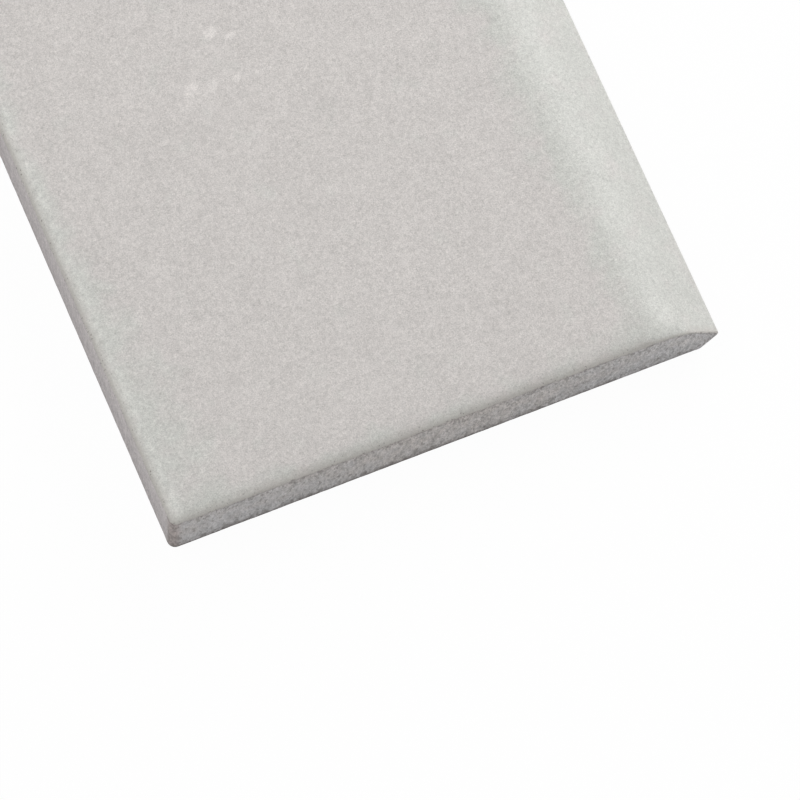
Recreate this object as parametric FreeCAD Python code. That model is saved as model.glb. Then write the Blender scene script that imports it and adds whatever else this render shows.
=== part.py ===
import FreeCAD, Part
import math
import os

# Bullnose trim tile: one pressed and fired piece with three cushioned edges and one nosed edge.
# +X runs across the tile to its nose, +Y runs along its length and +Z points out of the glazed face.
# The origin is the middle of the tile's outline, on the plane that its back lies on.
# All lengths are in millimetres and all angles in degrees.

# Overall size
WIDTH = 75.0
LENGTH = 300.0
THICKNESS = 9.5

# Nose along the right long edge: the face rolls over on a large radius and runs straight
# down a slope to a small rounded tip, and a relief slope with a rounded heel runs back under it.
NOSE_RADIUS = 12.0
NOSE_SLOPE = 43.0
TIP_HEIGHT = 3.45
TIP_RADIUS = 0.6
RELIEF_ANGLE = 53.0
HEEL_RADIUS = 1.1

# Rounded edges: the cushion runs round the glazed face and fades out over the nose,
# and the arris is the slight rounding that a pressed edge has everywhere else.
CUSHION_RADIUS = 1.2
ARRIS_RADIUS = 0.3
CORNER_RADIUS = 1.1

# Keyed back: a grid of shallow pockets with sloping walls, which the adhesive grips
KEY_PITCH = 16.0
KEY_RIB = 3.0
KEY_DEPTH = 0.7
KEY_WALL_RUN = 0.5
KEY_MARGIN = 3.0

# How close two coordinates are when an edge is picked by its place
NEAR = 0.001

NODE = "bullnose_tile"


def direction(angle):
    """Return the direction across the tile that lies this many degrees above +X."""
    turn = math.radians(angle)
    return FreeCAD.Vector(math.cos(turn), 0.0, math.sin(turn))


class Section:
    """The section across the tile, worked out from the tip of the nose backwards."""

    def __init__(self):
        self.left = -WIDTH / 2.0
        self.tip_centre = FreeCAD.Vector(WIDTH / 2.0 - TIP_RADIUS, 0.0, TIP_HEIGHT)
        self.tip = self.tip_centre + direction(0.0) * TIP_RADIUS
        self.place_nose_arc()
        self.place_relief()

    def place_nose_arc(self):
        """Place the slope on the tip, and the large arc tangent to the slope and the face."""
        slope = math.radians(NOSE_SLOPE)
        slope_normal = direction(90.0 - NOSE_SLOPE)
        self.slope_foot = self.tip_centre + slope_normal * TIP_RADIUS
        arc_drop = NOSE_RADIUS * (1.0 - math.cos(slope))
        slope_rise = THICKNESS - arc_drop - self.slope_foot.z
        slope_run = slope_rise / math.tan(slope)
        self.slope_head = self.slope_foot + FreeCAD.Vector(-slope_run, 0.0, slope_rise)
        centre = self.slope_head - slope_normal * NOSE_RADIUS
        self.nose_middle = centre + direction(90.0 - NOSE_SLOPE / 2.0) * NOSE_RADIUS
        self.nose_start = centre + direction(90.0) * NOSE_RADIUS

    def place_relief(self):
        """Place the relief slope on the tip, and the heel tangent to the slope and the back."""
        relief = math.radians(RELIEF_ANGLE)
        relief_normal = direction(RELIEF_ANGLE - 90.0)
        self.relief_start = self.tip_centre + relief_normal * TIP_RADIUS
        heel_rise = HEEL_RADIUS * (1.0 - math.cos(relief))
        relief_drop = self.relief_start.z - heel_rise
        relief_run = relief_drop / math.tan(relief)
        self.heel_start = self.relief_start - FreeCAD.Vector(relief_run, 0.0, relief_drop)
        centre = self.heel_start - relief_normal * HEEL_RADIUS
        self.heel_middle = centre + direction(RELIEF_ANGLE / 2.0 - 90.0) * HEEL_RADIUS
        self.heel_end = centre + direction(-90.0) * HEEL_RADIUS

    def face(self):
        """Return the section as one face, drawn anticlockwise from the back's left corner."""
        back_left = FreeCAD.Vector(self.left, 0.0, 0.0)
        face_left = FreeCAD.Vector(self.left, 0.0, THICKNESS)
        edges = [
            Part.LineSegment(back_left, self.heel_end),
            Part.Arc(self.heel_end, self.heel_middle, self.heel_start),
            Part.LineSegment(self.heel_start, self.relief_start),
            Part.Arc(self.relief_start, self.tip, self.slope_foot),
            Part.LineSegment(self.slope_foot, self.slope_head),
            Part.Arc(self.slope_head, self.nose_middle, self.nose_start),
            Part.LineSegment(self.nose_start, face_left),
            Part.LineSegment(face_left, back_left),
        ]
        return Part.Face(Part.Wire([edge.toShape() for edge in edges]))


def pressed_blank(section):
    """Return the sharp-edged tile, with the two upright corners of its square edge rounded."""
    face = section.face()
    face.translate(FreeCAD.Vector(0.0, -LENGTH / 2.0, 0.0))
    blank = face.extrude(FreeCAD.Vector(0.0, LENGTH, 0.0))
    corners = []
    for edge in blank.Edges:
        box = edge.BoundBox
        if box.XMax < section.left + NEAR and box.ZLength > NEAR:
            corners.append(edge)
    return blank.makeFillet(CORNER_RADIUS, corners)


def edge_radii(edge, section):
    """Return the rounding radii at the start and end of an edge, or None if it stays as it is.

    The edges round the face are one run, from the front end round the square edge to the
    far end, so the cushion grows over the front end's nose and shrinks over the far one's.
    """
    box = edge.BoundBox
    on_back = box.ZMax < NEAR and box.XMin < section.heel_end.x - NEAR
    on_face = box.ZMin > THICKNESS - NEAR and box.XMin < section.nose_start.x - NEAR
    on_nose_end = box.YLength < NEAR and box.XMin > section.nose_start.x - NEAR
    if on_back:
        return ARRIS_RADIUS, ARRIS_RADIUS
    if on_face:
        return CUSHION_RADIUS, CUSHION_RADIUS
    if not on_nose_end:
        return None
    if box.XMin > section.nose_start.x + NEAR:
        return ARRIS_RADIUS, ARRIS_RADIUS
    if box.YMax < 0.0:
        return ARRIS_RADIUS, CUSHION_RADIUS
    return CUSHION_RADIUS, ARRIS_RADIUS


def rounded(blank, section):
    """Round the cushion, its fading ends over the nose and every arris in one operation."""
    document = FreeCAD.newDocument(NODE)
    sharp = document.addObject("Part::Feature", "sharp")
    sharp.Shape = blank
    fillet = document.addObject("Part::Fillet", "fillet")
    fillet.Base = sharp
    picked = []
    for number, edge in enumerate(blank.Edges, start=1):
        radii = edge_radii(edge, section)
        if radii:
            picked.append((number, *radii))
    fillet.Edges = picked
    document.recompute()
    return fillet.Shape.copy()


def key_pocket(x, y):
    """Return the solid that one pocket of the keyed back takes out, centred at x, y."""
    mouth = KEY_PITCH - KEY_RIB
    rings = []
    for side, height in ((mouth, 0.0), (mouth - 2.0 * KEY_WALL_RUN, KEY_DEPTH)):
        corner = FreeCAD.Vector(x - side / 2.0, y - side / 2.0, height)
        rings.append(Part.makePlane(side, side, corner).OuterWire)
    return Part.makeLoft(rings, True, True)


def key_places(low, high):
    """Return the middles of the pockets that fit between two edges of the back."""
    room = high - low - 2.0 * KEY_MARGIN
    count = int((room + KEY_RIB) // KEY_PITCH)
    first = (low + high) / 2.0 - (count - 1) * KEY_PITCH / 2.0
    return [first + number * KEY_PITCH for number in range(count)]


def keyed(tile, section):
    """Cut the grid of pockets into the flat of the back, clear of the nose's underside."""
    pockets = []
    for x in key_places(section.left, section.heel_end.x):
        for y in key_places(-LENGTH / 2.0, LENGTH / 2.0):
            pockets.append(key_pocket(x, y))
    return tile.cut(Part.makeCompound(pockets))


def main():
    section = Section()
    tile = keyed(rounded(pressed_blank(section), section), section)
    solid = tile.Solids[0]
    os.makedirs("parts", exist_ok=True)
    solid.exportStep(os.path.join("parts", NODE + ".step"))
    box = solid.optimalBoundingBox()
    print(f"{NODE}: {box.XLength:.3f} x {box.YLength:.3f} x {box.ZLength:.3f} mm")
    print(f"solids {len(tile.Solids)}, faces {len(solid.Faces)}, valid {solid.isValid()}")
    print(f"volume {solid.Volume / 1000.0:.2f} cubic centimetres")


if __name__ == "__main__":
    main()
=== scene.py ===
import math
from collections import namedtuple

import bmesh
import bpy
from mathutils import Matrix, Vector, noise


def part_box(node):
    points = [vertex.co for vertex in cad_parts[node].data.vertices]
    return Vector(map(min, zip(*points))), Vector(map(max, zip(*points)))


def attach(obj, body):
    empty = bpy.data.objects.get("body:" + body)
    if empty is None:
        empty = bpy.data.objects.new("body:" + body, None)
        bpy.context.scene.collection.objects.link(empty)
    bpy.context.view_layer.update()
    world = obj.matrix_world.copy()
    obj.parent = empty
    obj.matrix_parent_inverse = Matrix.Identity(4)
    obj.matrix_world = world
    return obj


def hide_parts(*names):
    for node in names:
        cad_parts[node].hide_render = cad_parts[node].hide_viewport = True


# The bullnose tile: a matte glazed face and nose over a gritty fired body.
# The tile's own sizes are in millimetres, and MM turns them into Blender's metres.

MM = 0.001
NODE = "bullnose_tile"

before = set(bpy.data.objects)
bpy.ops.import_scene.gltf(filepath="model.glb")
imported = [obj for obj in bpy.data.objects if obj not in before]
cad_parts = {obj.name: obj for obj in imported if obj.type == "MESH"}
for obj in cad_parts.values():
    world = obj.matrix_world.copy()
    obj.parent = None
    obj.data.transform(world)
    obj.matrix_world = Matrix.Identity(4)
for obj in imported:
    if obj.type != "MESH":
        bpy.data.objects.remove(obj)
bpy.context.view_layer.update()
NODE_LOW, NODE_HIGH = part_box(NODE)

# Outline of the tile, from the frame
LEFT = NODE_LOW[0] / MM
TIP = NODE_HIGH[0] / MM
HALF_LENGTH = NODE_HIGH[1] / MM
THICKNESS = NODE_HIGH[2] / MM

# Nose: roll-over, slope, tip, and the relief slope with its rounded heel, as on the solid
NOSE_RADIUS = 12.0
NOSE_SLOPE = math.radians(43.0)
TIP_HEIGHT = 3.45
TIP_RADIUS = 0.6
RELIEF_SLOPE = math.radians(53.0)
HEEL_RADIUS = 1.1

# Cushions, from the face outwards: the radius of each arc and the slope at which it ends
END_CUSHION_ARCS = ((40.0, 5.0), (4.0, 22.0), (0.8, 90.0))
SIDE_CUSHION_ARCS = ((110.0, 3.0), (6.0, 16.0), (1.4, 40.0), (0.5, 90.0))
CUSHION_SLOPES = (90, 84, 76, 68, 60, 52, 44, 36, 28, 22, 17, 13, 10, 7, 5, 4, 3, 2, 1, 0)
ARRIS_RADIUS = 0.3
CORNER_RADIUS = 1.1

# Corners at the nose, seen from above: on the walls and on the face. The one opens into
# the other from the first distance below the top of the end wall to the second below the face.
NOSE_CORNER = 0.25
FACE_NOSE_CORNER = 3.0
CORNER_OPENING = (1.0, 0.1)

# Glaze: how far up the end and side walls its lower rim lies, measured over the surface.
# The rim wanders in waves, each a length, a layer of the noise and a weight. It stands
# proud of the recessed body, and the recess fades out past the nose's heel. A lip of glaze
# follows the nose round the edge of each end and wanders more than the rim.
END_RIM = 8.46
SIDE_RIM = 8.75
NOSE_RIM = 2.3
NOSE_LIP = 0.05
LIP_WANDER = 1.5
RIM_WANDER = 0.12
RIM_WAVES = ((9.0, 4.0, 1.3), (1.8, 9.0, 1.1))
RIM_ROUNDING = 0.12
BODY_RECESS = 0.09
HEEL_FADE = 1.0

# Warm middle of the face: the distances inside the side, the ends and the nose's start
# between which it comes up. Between two places along the tile, towards the front end, it
# comes to lie further from the side.
FIELD_SIDE = (0.5, 5.0)
FIELD_END = (-1.5, 4.5)
FIELD_NOSE = (0.0, 3.0)
WIDENING = 10.0
WIDENING_ALONG = (-100.0, -150.0)

# Lighter paint on the bare side wall towards its rim: the height it starts at and its strength
# at the rim
SIDE_LIGHTENING_START = 4.0
SIDE_LIGHTENING = 0.42

# Painted highlight along the side's cushion, as a paler band of glaze: its middle and half
# width inside the edge, the share of the half width that is palest, its strength, and the
# size and strength of its blotches
RIDGE_HIGHLIGHT_MIDDLE = 1.25
RIDGE_HIGHLIGHT_REACH = 1.1
RIDGE_HIGHLIGHT_CORE = 0.2
RIDGE_HIGHLIGHT = 0.09
RIDGE_HIGHLIGHT_BLOTCH = 1.0
RIDGE_HIGHLIGHT_BLOTCHES = 5.0

# How far the coarse brown grit reaches from the side's upright corners, and up to where
# it is full
CORNER_GRIT = 1.9
CORNER_GRIT_FULL = CORNER_GRIT / 3.0

# Unevenness of the surfaces: how deep the body's grit is, its sizes with the share of
# each, and the depth and size of the waves in the glaze
BODY_GRIT = 0.035
BODY_GRITS = ((0.8, 0.6), (2.4, 0.4))
FACE_WAVE = 0.02
FACE_WAVE_SIZE = 14.0

# Colours, as linear light: the glaze in the middle of the face and towards its edges and
# nose, the glaze where it thins out at its rim, the lighter paint towards the top of the
# side wall, the fired body in its warmer and cooler places, on the side wall and at its
# corners, and the darkest grit in it, also the colour of the painted shade at the end
# walls' foot and under the glaze's edge
WARM_GLAZE = (0.597, 0.569, 0.550)
COOL_GLAZE = (0.572, 0.574, 0.543)
RIM_GLAZE = (0.515, 0.482, 0.448)
SIDE_LIGHTENING_PAINT = (0.695, 0.656, 0.638)
WARM_BODY = (0.578, 0.543, 0.524)
COOL_BODY = (0.569, 0.558, 0.561)
SIDE_BODY = (0.568, 0.532, 0.533)
CORNER_BODY = (0.440, 0.378, 0.362)
DARK_GRIT_AND_SHADE = (0.190, 0.170, 0.158)

# Spans below are (low, high, value at low, value at high); without values they run 0 to 1.

# Speckle of the glaze: size, roughness, shift and weight of each noise
SPECKLE = (
    (0.17, 1.0, 0.0, 0.75),
    (0.45, 1.0, 0.3, 0.44),
    (1.3, 1.0, 0.1, 0.14),
    (5.5, 0.8, 0.2, 0.09),
)

# Tint of the glaze: how warm the middle of the face is, and size and strength of the patches
FIELD_WARMTH = 1.3
TINT_PATCH = 3.6
TINT_PATCHES = 2.3

# Edge of the glaze: size and strength of its raggedness in the paint, the span in which
# body turns to glaze, and the one in which thin glaze turns to full glaze
RAGGED_SIZE = 0.5
RAGGED_EDGE = 0.7
GLAZE_EDGE = (-0.05, 0.1)
THIN_GLAZE = (0.1, 1.5, 0.65, 0.0)

# The body's grit and lumps, drawn out upwards by the pressing, and how much coarser they
# get across the tile towards the nose
GRIT_DRAW = 2.2
GRIT_SIZE = 0.26
GRIT_STRENGTH = 1.15
LUMP_SIZE = 0.9
LUMP_STRENGTH = 0.6
COARSENESS = (-36.0, 4.0, 0.72, 1.1)

# Tint of the clay: size and strength of its patches, how much warmer it gets with the
# height, the fall with the distance across from the tile's middle, and the span from cool
# to warm
CLAY_PATCH = 3.0
CLAY_PATCHES = 2.5
CLAY_RISE = 0.10
CLAY_ACROSS = (6.0, 27.0, 0.3, -0.6)
CLAY_TINT = (-0.4, 1.1)

# The share of the corners' own colour at the side's upright corners
CORNER_SHARE = 0.8

# Dark specks, pits and painted shade in the body: their share on the ends and on the side wall
DARK_SHARE = (0.0, 1.0, 1.0, 0.25)

# Dark specks in the body: their size, how many more there are near the rim and at the
# side's corners, how far lumps break up the band near the rim, and their strength
SPECK_SIZE = 0.5
NEAR_RIM = (-2.6, -0.9, 0.0, 0.1)
NEAR_RIM_LUMPS = 4.0
CORNER_SPECKS = 0.12
SPECKS = (0.60, 0.70, 0.0, 0.5)

# Painted shade at the foot of the end walls, where the tile meets the floor: a broad
# painted shade and a thin line of painted contact shadow, by the height, both weaker
# across the tile towards the nose, and how far lumps and grit break them up
FOOT_ACROSS = (6.0, 34.0, 1.0, 0.4)
FOOT_PAINTED_SHADE = (0.0, 1.8, 0.52, 0.0)
FOOT_LUMPS = 6.0
FOOT_PAINTED_SHADOW_LINE = (0.4, 0.7, 1.0, 0.0)
FOOT_GRIT = 1.0

# A thin line of painted shade just below the glaze's edge, darker at its pits, and pinholes
# on both sides of its rim: size, strength and reach
PIT_SIZE = 0.5
PITS_AND_LIP_SHADE = (0.48, 0.62, 0.35, 1.0)
PIT_DROP = 0.2
LIP_SHADE_REACH = (0.1, 0.4, 0.55, 0.0)
PINHOLE_SIZE = 0.28
PINHOLES = (0.73, 0.78, 0.0, 0.7)
PINHOLE_REACH = (0.5, 1.3, 1.0, 0.0)

# Finish: roughness of body and glaze, depth of the fine relief and the glaze's share in it
BODY_ROUGHNESS = 0.9
GLAZE_ROUGHNESS = 0.42
RELIEF_DEPTH = 0.09
GLAZE_RELIEF = 0.35

# Pale scuffs on the face, and two pale clouds of painted highlight on the nose by its
# front end: size and strength of their raggedness, the span of their edge, and of each
# its middle across and along, half length, half width, turn and strength
MARK_RAGGED_SIZE = 0.5
MARK_RAGGED_EDGE = 1.1
MARK_EDGE = (0.25, 0.55)
SCUFFS_AND_NOSE_HIGHLIGHT = (
    (-7.7, -90.0, 1.5, 1.3, 40.0, 0.17),
    (-5.3, -91.2, 1.3, 0.8, 10.0, 0.13),
    (-12.8, -96.3, 2.1, 0.9, 22.0, 0.15),
    (-10.2, -97.0, 1.5, 1.0, 30.0, 0.12),
    (-6.9, -97.0, 1.1, 0.9, 0.0, 0.11),
    (-3.9, -97.4, 1.1, 0.9, 0.0, 0.08),
    (-13.0, -97.6, 6.5, 1.4, 16.0, 0.05),
    # Painted highlight: the nose's sheen where it reaches the front end
    (30.9, -147.0, 2.2, 1.5, 60.0, 0.07),
    (30.0, -145.2, 1.8, 1.0, 80.0, 0.05),
)

# Keyed back, as on the solid: its pitch, the ribs between the pockets, the margin round
# them, the loops of a pocket, each a distance inside its edge and a depth, and the radius
# of its corners and the steps round each
KEY_PITCH = 16.0
KEY_RIB = 3.0
KEY_MARGIN = 3.0
KEY_LOOPS = ((0.0, 0.0), (0.12, 0.07), (0.45, 0.62), (0.62, 0.70))
KEY_CORNER = 1.0
KEY_CORNER_STEPS = 3

# Mesh density: points along each run, steps round a corner, turns round the arris in
# degrees, the step up the walls, the finer one within a reach of the tip's height, and
# the cell of the face's grid
LONG_STATIONS = 596
END_STATIONS = 176
CORNER_STEPS = 6
ARRIS_TURNS = (0.0, 30.0, 60.0)
WALL_STEP = 0.36
TIP_STEP = 0.15
TIP_REACH = 0.72
FACE_CELL = 3.0

# Floor: half its side in metres, its paint, and the share of plain white in it as the
# camera sees it
FLOOR_REACH = 6.0
FLOOR_GREY = 0.85
FLOOR_ROUGHNESS = 0.9
FLOOR_WHITE = 0.97

# Light: the surround and the soft lamps, each with its direction, distance and side in
# metres and its power
SURROUND = 0.194
LAMPS = (
    ("right_back", (0.630, 0.630, 0.454), 0.7, 0.49, 3.29),
    ("right", (0.906, 0.0, 0.423), 0.7, 0.49, 1.02),
    ("right_high", (0.672, 0.118, 0.731), 0.7, 0.42, 0.78),
    ("left_high", (-0.433, 0.250, 0.866), 1.2, 0.84, 4.95),
    ("left_back", (-0.272, 0.583, 0.766), 1.3, 0.78, 0.98),
    ("left", (-0.866, 0.0, 0.500), 1.2, 0.84, 1.75),
    ("front", (0.0, -0.906, 0.423), 1.2, 0.84, 2.66),
)

# Upright part of the normal below which a low vertex counts as lying on the bed
DOWNWARD = -0.9

# Camera, fitted to the outline of the tile in the photograph
IMAGE_SIDE = 800
FOCAL_PIXELS = 6915.0
SENSOR = 36.0
AZIMUTH = math.radians(-28.83)
ELEVATION = math.radians(68.70)
ROLL = math.radians(6.42)
DISTANCE = 875.0
AIM = Vector((-2.87, -142.06, 0.0))
CLIP_START = 0.05
CLIP_END = 50.0


class Nose:
    """The section of the nose: how high it stands and how far across it reaches."""

    def __init__(self):
        self.tip_x = TIP - TIP_RADIUS
        self.foot_x = self.tip_x + TIP_RADIUS * math.sin(NOSE_SLOPE)
        self.foot_z = TIP_HEIGHT + TIP_RADIUS * math.cos(NOSE_SLOPE)
        self.head_z = THICKNESS - NOSE_RADIUS * (1.0 - math.cos(NOSE_SLOPE))
        self.head_x = self.foot_x - (self.head_z - self.foot_z) / math.tan(NOSE_SLOPE)
        self.start_x = self.head_x - NOSE_RADIUS * math.sin(NOSE_SLOPE)
        self.relief_x = self.tip_x + TIP_RADIUS * math.sin(RELIEF_SLOPE)
        self.relief_z = TIP_HEIGHT - TIP_RADIUS * math.cos(RELIEF_SLOPE)
        self.heel_z = HEEL_RADIUS * (1.0 - math.cos(RELIEF_SLOPE))
        relief_run = (self.relief_z - self.heel_z) / math.tan(RELIEF_SLOPE)
        self.heel_x = self.relief_x - relief_run - HEEL_RADIUS * math.sin(RELIEF_SLOPE)

    def height(self, x):
        """Return how high the nose stands at this distance across."""
        if x < self.start_x:
            return THICKNESS
        if x < self.head_x:
            past_start = x - self.start_x
            return THICKNESS - NOSE_RADIUS + math.sqrt(NOSE_RADIUS**2 - past_start**2)
        return self.foot_z + max(self.foot_x - x, 0.0) * math.tan(NOSE_SLOPE)

    def across(self, z):
        """Return how far across the nose reaches at this height."""
        if z < self.heel_z:
            return self.heel_x + math.sqrt(HEEL_RADIUS**2 - (HEEL_RADIUS - z) ** 2)
        if z < self.relief_z:
            return self.relief_x - (self.relief_z - z) / math.tan(RELIEF_SLOPE)
        if z < self.foot_z:
            return self.tip_x + math.sqrt(TIP_RADIUS**2 - (z - TIP_HEIGHT) ** 2)
        if z < self.head_z:
            return self.foot_x - (z - self.foot_z) / math.tan(NOSE_SLOPE)
        rise = min(z - (THICKNESS - NOSE_RADIUS), NOSE_RADIUS)
        return self.start_x + math.sqrt(NOSE_RADIUS**2 - rise**2)


class Cushion:
    """The turn from the face down into a wall, as arcs that steepen outwards."""

    def __init__(self, arcs):
        self.arcs = arcs
        depth, self.width, self.length = self.fall(90.0)
        self.wall_top = THICKNESS - depth

    def fall(self, slope):
        """Return the drop, the run and the length of surface from the face to this slope."""
        depth, width, length, flattest = 0.0, 0.0, 0.0, 0.0
        for radius, steepest in self.arcs:
            end = min(steepest, slope)
            if end > flattest:
                turn, from_turn = math.radians(end), math.radians(flattest)
                depth += radius * (math.cos(from_turn) - math.cos(turn))
                width += radius * (math.sin(turn) - math.sin(from_turn))
                length += radius * (turn - from_turn)
            flattest = steepest
        return depth, width, length

    def at(self, slope):
        """Return the place on a wall where the surface has this slope."""
        depth, width, length = self.fall(slope)
        reach = self.wall_top + self.length - length
        return Place(THICKNESS - depth, self.width - width, reach)


# A place on a wall: its height, how far inside the wall's plane it lies, and how far up
# the wall and over the cushion it is. A level is one ring's place on the ends and the side.
Place = namedtuple("Place", "z inset reach")
Level = namedtuple("Level", "end side")

# Values on the mesh for the material: the distance inside the glaze's rim, and shares of
# 1 on the side wall, in the middle of the face, in the band of painted highlight along the
# side's cushion and at the side's corners
Layers = namedtuple("Layers", "glaze side field pale corner")

NOSE = Nose()
END_CUSHION = Cushion(END_CUSHION_ARCS)
SIDE_CUSHION = Cushion(SIDE_CUSHION_ARCS)


def smoothstep(low, high, value):
    """Return 0 at low, 1 at high and a smooth rise between them."""
    t = min(max((value - low) / (high - low), 0.0), 1.0)
    return t * t * (3.0 - 2.0 * t)


def levels():
    """Return the rings of the mesh, from the back up to the face."""
    rings = []
    for turn in ARRIS_TURNS:
        z = ARRIS_RADIUS * (1.0 - math.cos(math.radians(turn)))
        inset = ARRIS_RADIUS * (1.0 - math.sin(math.radians(turn)))
        rings.append(Level(Place(z, inset, z), Place(z, inset, z)))
    stretch = (SIDE_CUSHION.wall_top - ARRIS_RADIUS) / (END_CUSHION.wall_top - ARRIS_RADIUS)
    z = ARRIS_RADIUS
    while z < END_CUSHION.wall_top - WALL_STEP / 2.0:
        side_z = ARRIS_RADIUS + (z - ARRIS_RADIUS) * stretch
        rings.append(Level(Place(z, 0.0, z), Place(side_z, 0.0, side_z)))
        near_tip = abs(z - TIP_HEIGHT) < TIP_REACH
        z += TIP_STEP if near_tip else WALL_STEP
    rings += [Level(END_CUSHION.at(slope), SIDE_CUSHION.at(slope)) for slope in CUSHION_SLOPES]
    return rings


def corner(centre_x, centre_y, radius, start, steps):
    """Return the inner points of a quarter turn, without its two ends."""
    points = []
    for step in range(1, steps):
        turn = math.radians(start + 90.0 * step / steps)
        points.append((centre_x + radius * math.cos(turn), centre_y + radius * math.sin(turn)))
    return points


def run(start, end, count):
    """Return evenly spaced points of a side, with both of its ends."""
    points = []
    for step in range(count + 1):
        t = step / count
        x = start[0] + (end[0] - start[0]) * t
        y = start[1] + (end[1] - start[1]) * t
        points.append((x, y))
    return points


def ring_outline(level):
    """Return one ring and the place across where its corner at the nose starts.

    The ring is (x, y, side) points, anticlockwise from the front left. Side is 1 on the side
    wall, 0 on the ends and the nose, and between them round the corners.
    """
    left = LEFT + level.side.inset
    front = -HALF_LENGTH + level.end.inset
    right = NOSE.across(level.end.z)
    near = CORNER_RADIUS
    below_wall_top, below_face = CORNER_OPENING
    opening = smoothstep(
        END_CUSHION.wall_top - below_wall_top, THICKNESS - below_face, level.end.z
    )
    far = NOSE_CORNER + (FACE_NOSE_CORNER - NOSE_CORNER) * opening
    points = run((left + near, front), (right - far, front), END_STATIONS)
    points += corner(right - far, front + far, far, -90.0, CORNER_STEPS)
    points += run((right, front + far), (right, -front - far), LONG_STATIONS)
    points += corner(right - far, -front - far, far, 0.0, CORNER_STEPS)
    points += run((right - far, -front), (left + near, -front), END_STATIONS)
    outline = [(x, y, 0.0) for x, y in points]
    turn = [smoothstep(0.0, 1.0, step / CORNER_STEPS) for step in range(1, CORNER_STEPS)]
    back_corner = corner(left + near, -front - near, near, 90.0, CORNER_STEPS)
    outline += [(x, y, side) for (x, y), side in zip(back_corner, turn)]
    side_run = run((left, -front - near), (left, front + near), LONG_STATIONS)
    outline += [(x, y, 1.0) for x, y in side_run]
    front_corner = corner(left + near, front + near, near, 180.0, CORNER_STEPS)
    outline += [(x, y, side) for (x, y), side in zip(front_corner, turn[::-1])]
    return outline, right - far


def rim_shift(x, y):
    """Return how far the glaze's lower rim lies above or below its mean height here."""
    return RIM_WANDER * sum(
        weight * noise.noise(Vector((x, y, layer)) / length)
        for length, layer, weight in RIM_WAVES
    )


def glaze_distance(x, y, z, above_rim, turn_start):
    """Return the distance inside the glaze's rim along the surface, negative on bare body."""
    in_lip = z - (NOSE.height(x) - NOSE_LIP) + LIP_WANDER * rim_shift(x, y)
    past_turn = x - turn_start
    if past_turn > 0.0:
        past_turn += HALF_LENGTH - abs(y)
    on_nose = min((z - NOSE_RIM) / math.sin(RELIEF_SLOPE), past_turn)
    return max(above_rim, in_lip, on_nose)


def face_field(x, y):
    """Return 1 on the middle of the face, less towards its edges and 0 on the nose."""
    widening = WIDENING * smoothstep(*WIDENING_ALONG, y)
    from_side = smoothstep(FIELD_SIDE[0], FIELD_SIDE[1] + widening, x - LEFT)
    from_end = smoothstep(*FIELD_END, HALF_LENGTH - abs(y))
    from_nose = smoothstep(*FIELD_NOSE, NOSE.start_x - x)
    return from_side * from_end * from_nose


def side_highlight_band(x):
    """Return 1 in the middle of the band of painted highlight along the side's cushion, 0
    outside it.
    """
    return 1.0 - smoothstep(RIDGE_HIGHLIGHT_CORE, 1.0, abs(x - LEFT - RIDGE_HIGHLIGHT_MIDDLE) / RIDGE_HIGHLIGHT_REACH)


def corner_grit(x, y):
    """Return 1 at the two upright corners of the side, 0 away from them."""
    distance = math.hypot(x - LEFT, HALF_LENGTH - abs(y))
    return 1.0 - smoothstep(CORNER_GRIT_FULL, CORNER_GRIT, distance)


def surface_depth(x, y, z, glaze):
    """Return how far the fired surface lies inside the pressed one."""
    face = FACE_WAVE * (0.5 + 0.5 * noise.noise(Vector((x, y, z)) / FACE_WAVE_SIZE))
    if glaze >= 0.0:
        return face
    bare = smoothstep(0.0, RIM_ROUNDING, -glaze)
    bare *= 1.0 - smoothstep(NOSE.heel_x, NOSE.heel_x + HEEL_FADE, x)
    grit = sum(share * noise.noise(Vector((x, y, z)) / size) for size, share in BODY_GRITS)
    return face + bare * (BODY_RECESS + BODY_GRIT * grit)


def add_rings(mesh, layers):
    """Stack up the rings of walls, nose and cushions, and return the lowest and the highest."""
    rings = []
    for level in levels():
        outline, turn_start = ring_outline(level)
        ring = []
        for x, y, side in outline:
            z = level.end.z + (level.side.z - level.end.z) * side
            reach = level.end.reach + (level.side.reach - level.end.reach) * side
            rim = END_RIM + (SIDE_RIM - END_RIM) * side + rim_shift(x, y)
            vertex = mesh.verts.new((x, y, z))
            vertex[layers.glaze] = glaze_distance(x, y, z, reach - rim, turn_start)
            vertex[layers.side] = side * (1.0 - corner_grit(x, y))
            vertex[layers.field] = face_field(x, y)
            vertex[layers.pale] = side_highlight_band(x)
            vertex[layers.corner] = corner_grit(x, y)
            ring.append(vertex)
        rings.append(ring)
    for lower, upper in zip(rings, rings[1:]):
        for number in range(len(lower)):
            after = (number + 1) % len(lower)
            mesh.faces.new((lower[number], lower[after], upper[after], upper[number]))
    return rings[0], rings[-1]


def stitch(mesh, outer, inner, upward):
    """Fill between two closed loops with triangles, always across the shorter diagonal."""
    start = min(range(len(inner)), key=lambda i: (inner[i].co - outer[0].co).length)
    inner = inner[start:] + inner[:start]
    a, b = 0, 0
    while a < len(outer) or b < len(inner):
        here, there = outer[a % len(outer)], inner[b % len(inner)]
        next_outer = outer[(a + 1) % len(outer)]
        next_inner = inner[(b + 1) % len(inner)]
        along_outer = (next_outer.co - there.co).length
        along_inner = (next_inner.co - here.co).length
        if b == len(inner) or (a < len(outer) and along_outer <= along_inner):
            corners = (here, next_outer, there)
            a += 1
        else:
            corners = (here, next_inner, there)
            b += 1
        mesh.faces.new(corners if upward else corners[::-1])


def spread(low, high, cell):
    """Return evenly spaced values from low to high, about one cell apart."""
    count = max(1, round((high - low) / cell))
    return [low + (high - low) * step / count for step in range(count + 1)]


def grid_vertices(mesh, xs, ys, z):
    """Make the vertices of a level grid, row by row from the front."""
    return [[mesh.verts.new((x, y, z)) for x in xs] for y in ys]


def grid_border(grid):
    """Return the border of a grid as a loop, anticlockwise from the front left."""
    border = list(grid[0])
    border += [row[-1] for row in grid[1:]]
    border += grid[-1][-2::-1]
    border += [row[0] for row in grid[-2:0:-1]]
    return border


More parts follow.
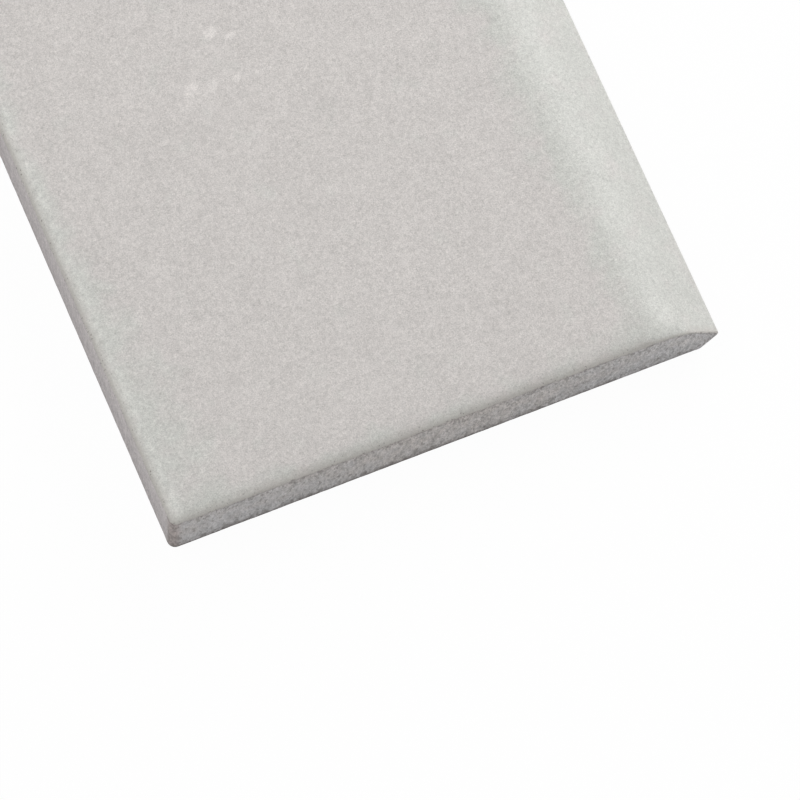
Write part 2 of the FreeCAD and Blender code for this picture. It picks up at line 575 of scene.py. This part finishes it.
def add_face(mesh, layers, rim):
    """Close the top inside the last ring with a coarse grid."""
    room = FACE_NOSE_CORNER / 2.0
    x_low = min(vertex.co.x for vertex in rim) + room
    x_high = max(vertex.co.x for vertex in rim) - room
    y_high = max(vertex.co.y for vertex in rim) - room
    xs = spread(x_low, x_high, FACE_CELL)
    ys = spread(-y_high, y_high, FACE_CELL)
    grid = grid_vertices(mesh, xs, ys, THICKNESS)
    for row, next_row in zip(grid, grid[1:]):
        for number in range(len(row) - 1):
            after = number + 1
            mesh.faces.new((row[number], row[after], next_row[after], next_row[number]))
    for row in grid:
        for vertex in row:
            vertex[layers.glaze] = END_CUSHION.width
            vertex[layers.field] = face_field(vertex.co.x, vertex.co.y)
    stitch(mesh, rim, grid_border(grid), True)


def key_lines(low, high):
    """Return the pockets' edges between two edges of the back, in order."""
    room = high - low - 2.0 * KEY_MARGIN
    count = int((room + KEY_RIB) // KEY_PITCH)
    first = (low + high) / 2.0 - (count * KEY_PITCH - KEY_RIB) / 2.0
    lines = []
    for number in range(count):
        start = first + number * KEY_PITCH
        lines += [start, start + KEY_PITCH - KEY_RIB]
    return lines


def pocket_loop(x_low, x_high, y_low, y_high, inset, radius):
    """Return one level of a pocket as a square loop with rounded corners."""
    left, right = x_low + inset + radius, x_high - inset - radius
    front, back = y_low + inset + radius, y_high - inset - radius
    points = []
    turns = ((left, front, 180), (right, front, 270), (right, back, 0), (left, back, 90))
    for x, y, start in turns:
        for step in range(KEY_CORNER_STEPS + 1):
            turn = math.radians(start + 90.0 * step / KEY_CORNER_STEPS)
            points.append((x + radius * math.cos(turn), y + radius * math.sin(turn)))
    return points


def add_pocket(mesh, layers, corners):
    """Sink one pocket of the keyed back inside four corners that lie on the back."""
    x_low, y_low = corners[0].co.x, corners[0].co.y
    x_high, y_high = corners[2].co.x, corners[2].co.y
    loops = []
    for inset, depth in KEY_LOOPS:
        outline = pocket_loop(x_low, x_high, y_low, y_high, inset, KEY_CORNER - inset / 2.0)
        loops.append([mesh.verts.new((x, y, depth)) for x, y in outline])
    for loop in loops:
        for vertex in loop:
            vertex[layers.glaze] = -END_RIM
    stitch(mesh, corners, loops[0], False)
    for outer, inner in zip(loops, loops[1:]):
        for number in range(len(outer)):
            after = (number + 1) % len(outer)
            mesh.faces.new((outer[after], outer[number], inner[number], inner[after]))
    mesh.faces.new(loops[-1][::-1])


def add_back(mesh, layers, rim):
    """Close the back inside the first ring with the keyed grid."""
    xs = key_lines(LEFT, NOSE.across(0.0))
    ys = key_lines(-HALF_LENGTH, HALF_LENGTH)
    grid = grid_vertices(mesh, xs, ys, 0.0)
    for j in range(len(ys) - 1):
        for i in range(len(xs) - 1):
            corners = [grid[j][i], grid[j][i + 1], grid[j + 1][i + 1], grid[j + 1][i]]
            if i % 2 == 0 and j % 2 == 0:
                add_pocket(mesh, layers, corners)
            else:
                mesh.faces.new(corners[::-1])
    for row in grid:
        for vertex in row:
            vertex[layers.glaze] = -END_RIM
    stitch(mesh, rim, grid_border(grid), False)


def roughen(mesh, layers):
    """Move the surface inwards by the unevenness of glaze and body, apart from the bed."""
    mesh.normal_update()
    moves = []
    for vertex in mesh.verts:
        x, y, z = vertex.co
        on_bed = z < ARRIS_RADIUS and vertex.normal.z < DOWNWARD
        depth = 0.0 if on_bed else surface_depth(x, y, z, vertex[layers.glaze])
        moves.append(vertex.normal * depth)
    for vertex, move in zip(mesh.verts, moves):
        vertex.co -= move


def make_tile():
    """Build the fired tile as one closed mesh that stands for the solid."""
    mesh = bmesh.new()
    for name in Layers._fields:
        mesh.verts.layers.float.new(name)
    layers = Layers(*(mesh.verts.layers.float[name] for name in Layers._fields))
    back_rim, face_rim = add_rings(mesh, layers)
    add_face(mesh, layers, face_rim)
    add_back(mesh, layers, back_rim)
    roughen(mesh, layers)
    for vertex in mesh.verts:
        vertex.co *= MM
    for face in mesh.faces:
        face.smooth = True
    data = bpy.data.meshes.new("fired_tile")
    mesh.to_mesh(data)
    mesh.free()
    tile = bpy.data.objects.new("fired_tile", data)
    bpy.context.scene.collection.objects.link(tile)
    return tile


class Nodes:
    """A short way to build a material's node tree, in millimetres on the object."""

    def __init__(self, name):
        self.material = bpy.data.materials.new(name)
        self.material.use_nodes = True
        self.tree = self.material.node_tree
        self.shader = self.tree.nodes["Principled BSDF"]
        self.object_coordinates = self.tree.nodes.new("ShaderNodeTexCoord").outputs["Object"]

    def link(self, source, target):
        self.tree.links.new(source, target)

    def set(self, socket, value):
        if isinstance(value, bpy.types.NodeSocket):
            self.link(value, socket)
        elif socket.type == "RGBA":
            socket.default_value = (*value, 1.0)
        else:
            socket.default_value = value

    def noise(self, size, roughness=1.0, shift=0.0, detail=1.0, tall=1.0):
        """Noise of this size, set apart from others by its shift, that may be drawn out upwards.

        Its octaves are equally strong where roughness is 1.
        """
        place = self.tree.nodes.new("ShaderNodeVectorMath")
        place.operation = "MULTIPLY_ADD"
        self.link(self.object_coordinates, place.inputs[0])
        place.inputs[1].default_value = (1.0, 1.0, 1.0 / tall)
        place.inputs[2].default_value = (shift, -shift, shift / 2.0)
        node = self.tree.nodes.new("ShaderNodeTexNoise")
        node.inputs["Scale"].default_value = 1.0 / (size * MM)
        node.inputs["Detail"].default_value = detail
        node.inputs["Roughness"].default_value = roughness
        self.link(place.outputs["Vector"], node.inputs["Vector"])
        return node.outputs["Fac"]

    def coordinate(self, axis):
        """X is across from the tile's middle and Z up from the bed, in millimetres."""
        node = self.tree.nodes.new("ShaderNodeSeparateXYZ")
        self.link(self.object_coordinates, node.inputs["Vector"])
        return self.math("MULTIPLY", node.outputs[axis], 1.0 / MM)

    def spot(self, x, y, length, width, turn):
        """1 in the middle of an oval mark seen from above, 0 from its edge outwards."""
        place = self.tree.nodes.new("ShaderNodeMapping")
        place.vector_type = "TEXTURE"
        place.inputs["Location"].default_value = (x * MM, y * MM, THICKNESS * MM)
        place.inputs["Rotation"].default_value = (0.0, 0.0, math.radians(turn))
        place.inputs["Scale"].default_value = (length * MM, width * MM, 1.0)
        self.link(self.object_coordinates, place.inputs["Vector"])
        node = self.tree.nodes.new("ShaderNodeTexGradient")
        node.gradient_type = "SPHERICAL"
        self.link(place.outputs["Vector"], node.inputs["Vector"])
        return node.outputs["Fac"]

    def attribute(self, name):
        node = self.tree.nodes.new("ShaderNodeAttribute")
        node.attribute_name = name
        return node.outputs["Fac"]

    def span(self, value, low, high, to_low=0.0, to_high=1.0):
        node = self.tree.nodes.new("ShaderNodeMapRange")
        self.set(node.inputs["Value"], value)
        node.inputs["From Min"].default_value = low
        node.inputs["From Max"].default_value = high
        node.inputs["To Min"].default_value = to_low
        node.inputs["To Max"].default_value = to_high
        return node.outputs["Result"]

    def math(self, operation, first, second=0.0):
        node = self.tree.nodes.new("ShaderNodeMath")
        node.operation = operation
        self.set(node.inputs[0], first)
        self.set(node.inputs[1], second)
        return node.outputs["Value"]

    def total(self, *terms):
        """Sum of (value, weight) terms, each taken about its middle, 0.5."""
        result = None
        for value, weight in terms:
            term = self.math("MULTIPLY", self.math("SUBTRACT", value, 0.5), weight)
            result = term if result is None else self.math("ADD", result, term)
        return result

    def mix(self, factor, first, second):
        node = self.tree.nodes.new("ShaderNodeMix")
        node.data_type = "RGBA"
        self.set(node.inputs["Factor"], factor)
        self.set(node.inputs["A"], first)
        self.set(node.inputs["B"], second)
        return node.outputs["Result"]

    def mix_value(self, factor, first, second):
        node = self.tree.nodes.new("ShaderNodeMix")
        node.data_type = "FLOAT"
        self.set(node.inputs["Factor"], factor)
        self.set(node.inputs["A"], first)
        self.set(node.inputs["B"], second)
        return node.outputs["Result"]

    def lighten(self, paint, amount):
        """Make a colour lighter by an amount, or darker where it is below 0."""
        node = self.tree.nodes.new("ShaderNodeVectorMath")
        node.operation = "SCALE"
        self.set(node.inputs[0], paint)
        self.set(node.inputs["Scale"], self.math("ADD", amount, 1.0))
        return node.outputs["Vector"]

    def bump(self, height, distance):
        node = self.tree.nodes.new("ShaderNodeBump")
        node.inputs["Distance"].default_value = distance * MM
        self.link(height, node.inputs["Height"])
        return node.outputs["Normal"]


def scuffs_and_nose_highlight(nodes):
    """A few faint pale scuffs on the face and the painted highlight on the nose, with ragged
    edges.
    """
    raggedness = nodes.noise(MARK_RAGGED_SIZE, roughness=0.7, shift=0.3, detail=2.0)
    ragged = nodes.total((raggedness, MARK_RAGGED_EDGE))
    marks = None
    for *oval, strength in SCUFFS_AND_NOSE_HIGHLIGHT:
        shape = nodes.math("ADD", nodes.spot(*oval), ragged)
        mark = nodes.span(shape, *MARK_EDGE, 0.0, strength)
        marks = mark if marks is None else nodes.math("MAXIMUM", marks, mark)
    return marks


def glaze_grain_and_highlight(nodes):
    """The glaze's speckle, with the painted highlight along the side's cushion."""
    speckle = [
        (nodes.noise(size, roughness, shift), weight)
        for size, roughness, shift, weight in SPECKLE
    ]
    # Painted highlight: the band along the side's cushion made paler, in blotches
    blotches = nodes.noise(RIDGE_HIGHLIGHT_BLOTCH, roughness=0.7, shift=1.1)
    blotches = nodes.total((blotches, RIDGE_HIGHLIGHT_BLOTCHES))
    band = nodes.math("MULTIPLY", nodes.attribute("pale"), RIDGE_HIGHLIGHT)
    pale = nodes.math("MULTIPLY", band, nodes.math("ADD", blotches, 1.0))
    return nodes.math("ADD", nodes.total(*speckle), pale)


def glaze_paint(nodes, grain_and_highlight, edge):
    """The glaze's colour with its painted highlights, thinner along its edge."""
    patches = nodes.noise(TINT_PATCH, roughness=0.7, shift=0.4)
    patches = nodes.total((patches, TINT_PATCHES))
    field = nodes.math("MULTIPLY", nodes.attribute("field"), FIELD_WARMTH)
    warmth = nodes.span(nodes.math("ADD", field, patches), 0.0, 1.0)
    paint = nodes.lighten(nodes.mix(warmth, COOL_GLAZE, WARM_GLAZE), grain_and_highlight)
    paint = nodes.lighten(paint, scuffs_and_nose_highlight(nodes))
    return nodes.mix(nodes.span(edge, *THIN_GLAZE), paint, RIM_GLAZE)


def clay_paint(nodes, height, across):
    """The clay's colour, before the grit in it."""
    patches = nodes.noise(CLAY_PATCH, roughness=0.8, shift=0.9)
    rise = nodes.total((patches, CLAY_PATCHES), (height, CLAY_RISE))
    fall = nodes.span(nodes.math("ABSOLUTE", across), *CLAY_ACROSS)
    warmth = nodes.span(nodes.math("ADD", rise, fall), *CLAY_TINT)
    clay = nodes.mix(warmth, COOL_BODY, WARM_BODY)
    clay = nodes.mix(nodes.attribute("side"), clay, SIDE_BODY)
    corner_share = nodes.math("MULTIPLY", nodes.attribute("corner"), CORNER_SHARE)
    return nodes.mix(corner_share, clay, CORNER_BODY)


def dark_specks(nodes, above_rim, lumps):
    """Dark specks in the body, closer together near the rim and at the side's corners."""
    from_rim = nodes.math("ADD", above_rim, nodes.total((lumps, NEAR_RIM_LUMPS)))
    at_corner = nodes.math("MULTIPLY", nodes.attribute("corner"), CORNER_SPECKS)
    nearness = nodes.math("MAXIMUM", nodes.span(from_rim, *NEAR_RIM), at_corner)
    speckle = nodes.noise(SPECK_SIZE, roughness=0.8, shift=0.7, tall=GRIT_DRAW)
    return nodes.span(nodes.math("ADD", speckle, nearness), *SPECKS)


def body_paint(nodes, above_rim, dark_share):
    """The body's colour with the painted shade at the end walls' foot, and the mottle that its
    relief follows.
    """
    height, across = nodes.coordinate("Z"), nodes.coordinate("X")
    grit = nodes.noise(GRIT_SIZE, shift=0.5, tall=GRIT_DRAW)
    lumps = nodes.noise(LUMP_SIZE, roughness=0.8, shift=0.6, tall=GRIT_DRAW)
    mottle = nodes.total((grit, GRIT_STRENGTH), (lumps, LUMP_STRENGTH))
    mottle = nodes.math("MULTIPLY", mottle, nodes.span(across, *COARSENESS))
    paint = nodes.lighten(clay_paint(nodes, height, across), mottle)
    specks = nodes.math("MULTIPLY", dark_specks(nodes, above_rim, lumps), dark_share)
    paint = nodes.mix(specks, paint, DARK_GRIT_AND_SHADE)

    # The bare side wall lighter towards its rim
    side_lightening = nodes.span(height, SIDE_LIGHTENING_START, SIDE_RIM, 0.0, SIDE_LIGHTENING)
    side_lightening = nodes.math("MULTIPLY", side_lightening, nodes.attribute("side"))
    paint = nodes.mix(side_lightening, paint, nodes.lighten(SIDE_LIGHTENING_PAINT, mottle))

    # Painted shade and a thin line of painted contact shadow along the foot of the end walls
    painted_shade_at_foot = nodes.math("MULTIPLY", nodes.span(across, *FOOT_ACROSS), dark_share)
    shade = nodes.math("ADD", height, nodes.total((lumps, FOOT_LUMPS)))
    line = nodes.math("ADD", height, nodes.total((grit, FOOT_GRIT)))
    for above_foot, span in ((shade, FOOT_PAINTED_SHADE), (line, FOOT_PAINTED_SHADOW_LINE)):
        painted_darkness = nodes.math("MULTIPLY", nodes.span(above_foot, *span), painted_shade_at_foot)
        paint = nodes.mix(painted_darkness, paint, DARK_GRIT_AND_SHADE)
    return paint, mottle


def add_lip_shade_and_pits(nodes, paint, above_rim, edge, dark_share):
    """Darken a thin line of painted shade with pits along the glaze's edge, and the pinholes on
    both sides of its rim.
    """
    # Painted shade: a thin dark line all along under the glaze's edge, darker still at the pits
    pits = nodes.span(nodes.noise(PIT_SIZE, roughness=0.7, shift=0.8), *PITS_AND_LIP_SHADE)
    from_edge = nodes.math("ABSOLUTE", nodes.math("ADD", edge, PIT_DROP))
    lip_shade_share = nodes.math("MULTIPLY", nodes.span(from_edge, *LIP_SHADE_REACH), dark_share)
    paint = nodes.mix(nodes.math("MULTIPLY", pits, lip_shade_share), paint, DARK_GRIT_AND_SHADE)
    pinholes = nodes.span(nodes.noise(PINHOLE_SIZE, shift=1.3, detail=0.0), *PINHOLES)
    near_rim = nodes.span(nodes.math("ABSOLUTE", above_rim), *PINHOLE_REACH)
    return nodes.mix(nodes.math("MULTIPLY", pinholes, near_rim), paint, DARK_GRIT_AND_SHADE)


def fired_material():
    """The matte speckled glaze, the gritty bare body and the rim between them."""
    nodes = Nodes("fired_tile")
    above_rim = nodes.attribute("glaze")
    raggedness = nodes.noise(RAGGED_SIZE, roughness=0.7, detail=2.0)
    edge = nodes.math("ADD", above_rim, nodes.total((raggedness, RAGGED_EDGE)))
    glazed = nodes.span(edge, *GLAZE_EDGE)
    dark_share = nodes.span(nodes.attribute("side"), *DARK_SHARE)

    grain_and_highlight = glaze_grain_and_highlight(nodes)
    glaze = glaze_paint(nodes, grain_and_highlight, edge)
    body, mottle = body_paint(nodes, above_rim, dark_share)
    paint = nodes.mix(glazed, body, glaze)
    paint = add_lip_shade_and_pits(nodes, paint, above_rim, edge, dark_share)
    roughness = nodes.mix_value(glazed, BODY_ROUGHNESS, GLAZE_ROUGHNESS)
    relief = nodes.mix_value(glazed, mottle, nodes.math("MULTIPLY", grain_and_highlight, GLAZE_RELIEF))

    nodes.link(paint, nodes.shader.inputs["Base Color"])
    nodes.link(roughness, nodes.shader.inputs["Roughness"])
    nodes.link(nodes.bump(relief, RELIEF_DEPTH), nodes.shader.inputs["Normal"])
    return nodes.material


def add_floor():
    """A plain pale floor, white to the camera, that keeps the tile's soft shadow."""
    mesh = bmesh.new()
    bmesh.ops.create_grid(mesh, x_segments=2, y_segments=2, size=FLOOR_REACH)
    data = bpy.data.meshes.new("floor")
    mesh.to_mesh(data)
    mesh.free()
    floor = bpy.data.objects.new("floor", data)
    floor.location.z = NODE_LOW[2]
    bpy.context.scene.collection.objects.link(floor)
    material = bpy.data.materials.new("floor")
    material.use_nodes = True
    tree = material.node_tree
    paint = tree.nodes["Principled BSDF"]
    paint.inputs["Base Color"].default_value = (FLOOR_GREY, FLOOR_GREY, FLOOR_GREY, 1.0)
    paint.inputs["Roughness"].default_value = FLOOR_ROUGHNESS
    paint.inputs["Specular IOR Level"].default_value = 0.0
    white = tree.nodes.new("ShaderNodeEmission")
    path = tree.nodes.new("ShaderNodeLightPath")
    share = tree.nodes.new("ShaderNodeMath")
    share.operation = "MULTIPLY"
    share.inputs[1].default_value = FLOOR_WHITE
    mix = tree.nodes.new("ShaderNodeMixShader")
    tree.links.new(path.outputs["Is Camera Ray"], share.inputs[0])
    tree.links.new(share.outputs["Value"], mix.inputs["Fac"])
    tree.links.new(paint.outputs["BSDF"], mix.inputs[1])
    tree.links.new(white.outputs["Emission"], mix.inputs[2])
    tree.links.new(mix.outputs["Shader"], tree.nodes["Material Output"].inputs["Surface"])
    data.materials.append(material)


def add_lamp(name, direction, distance, size, power):
    """A soft square lamp that shines on the tile from this direction."""
    light = bpy.data.lights.new(name, "AREA")
    light.shape = "SQUARE"
    light.size = size
    light.energy = power
    lamp = bpy.data.objects.new(name, light)
    towards = Vector(direction).normalized()
    lamp.location = towards * distance
    lamp.rotation_euler = towards.to_track_quat("Z", "Y").to_euler()
    bpy.context.scene.collection.objects.link(lamp)


def light_scene():
    """A pale surround, white to the camera, and large soft lamps."""
    world = bpy.data.worlds.new("studio")
    world.use_nodes = True
    bpy.context.scene.world = world
    tree = world.node_tree
    background = tree.nodes["Background"]
    background.inputs["Color"].default_value = (1.0, 1.0, 1.0, 1.0)
    path = tree.nodes.new("ShaderNodeLightPath")
    seen = tree.nodes.new("ShaderNodeMapRange")
    seen.inputs["To Min"].default_value = SURROUND
    seen.inputs["To Max"].default_value = 1.0
    tree.links.new(path.outputs["Is Camera Ray"], seen.inputs["Value"])
    tree.links.new(seen.outputs["Result"], background.inputs["Strength"])
    for lamp in LAMPS:
        add_lamp(*lamp)


def add_camera():
    """Place the camera that the photograph was taken from."""
    ahead = Vector((
        -math.sin(AZIMUTH) * math.cos(ELEVATION),
        math.cos(AZIMUTH) * math.cos(ELEVATION),
        -math.sin(ELEVATION),
    ))
    level_right = ahead.cross(Vector((0.0, 0.0, 1.0))).normalized()
    level_up = level_right.cross(ahead)
    right = math.cos(ROLL) * level_right + math.sin(ROLL) * level_up
    up = math.cos(ROLL) * level_up - math.sin(ROLL) * level_right
    place = (AIM - ahead * DISTANCE) * MM
    data = bpy.data.cameras.new("camera")
    data.sensor_width = SENSOR
    data.lens = SENSOR * FOCAL_PIXELS / IMAGE_SIDE
    data.clip_start = CLIP_START
    data.clip_end = CLIP_END
    camera = bpy.data.objects.new("camera", data)
    turn = Matrix((right, up, -ahead)).transposed().to_4x4()
    camera.matrix_world = Matrix.Translation(place) @ turn
    bpy.context.scene.collection.objects.link(camera)
    bpy.context.scene.camera = camera


tile = make_tile()
tile.data.materials.append(fired_material())
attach(tile, "root")
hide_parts(NODE)

add_floor()
light_scene()
add_camera()
bpy.context.scene.view_settings.view_transform = "Standard"
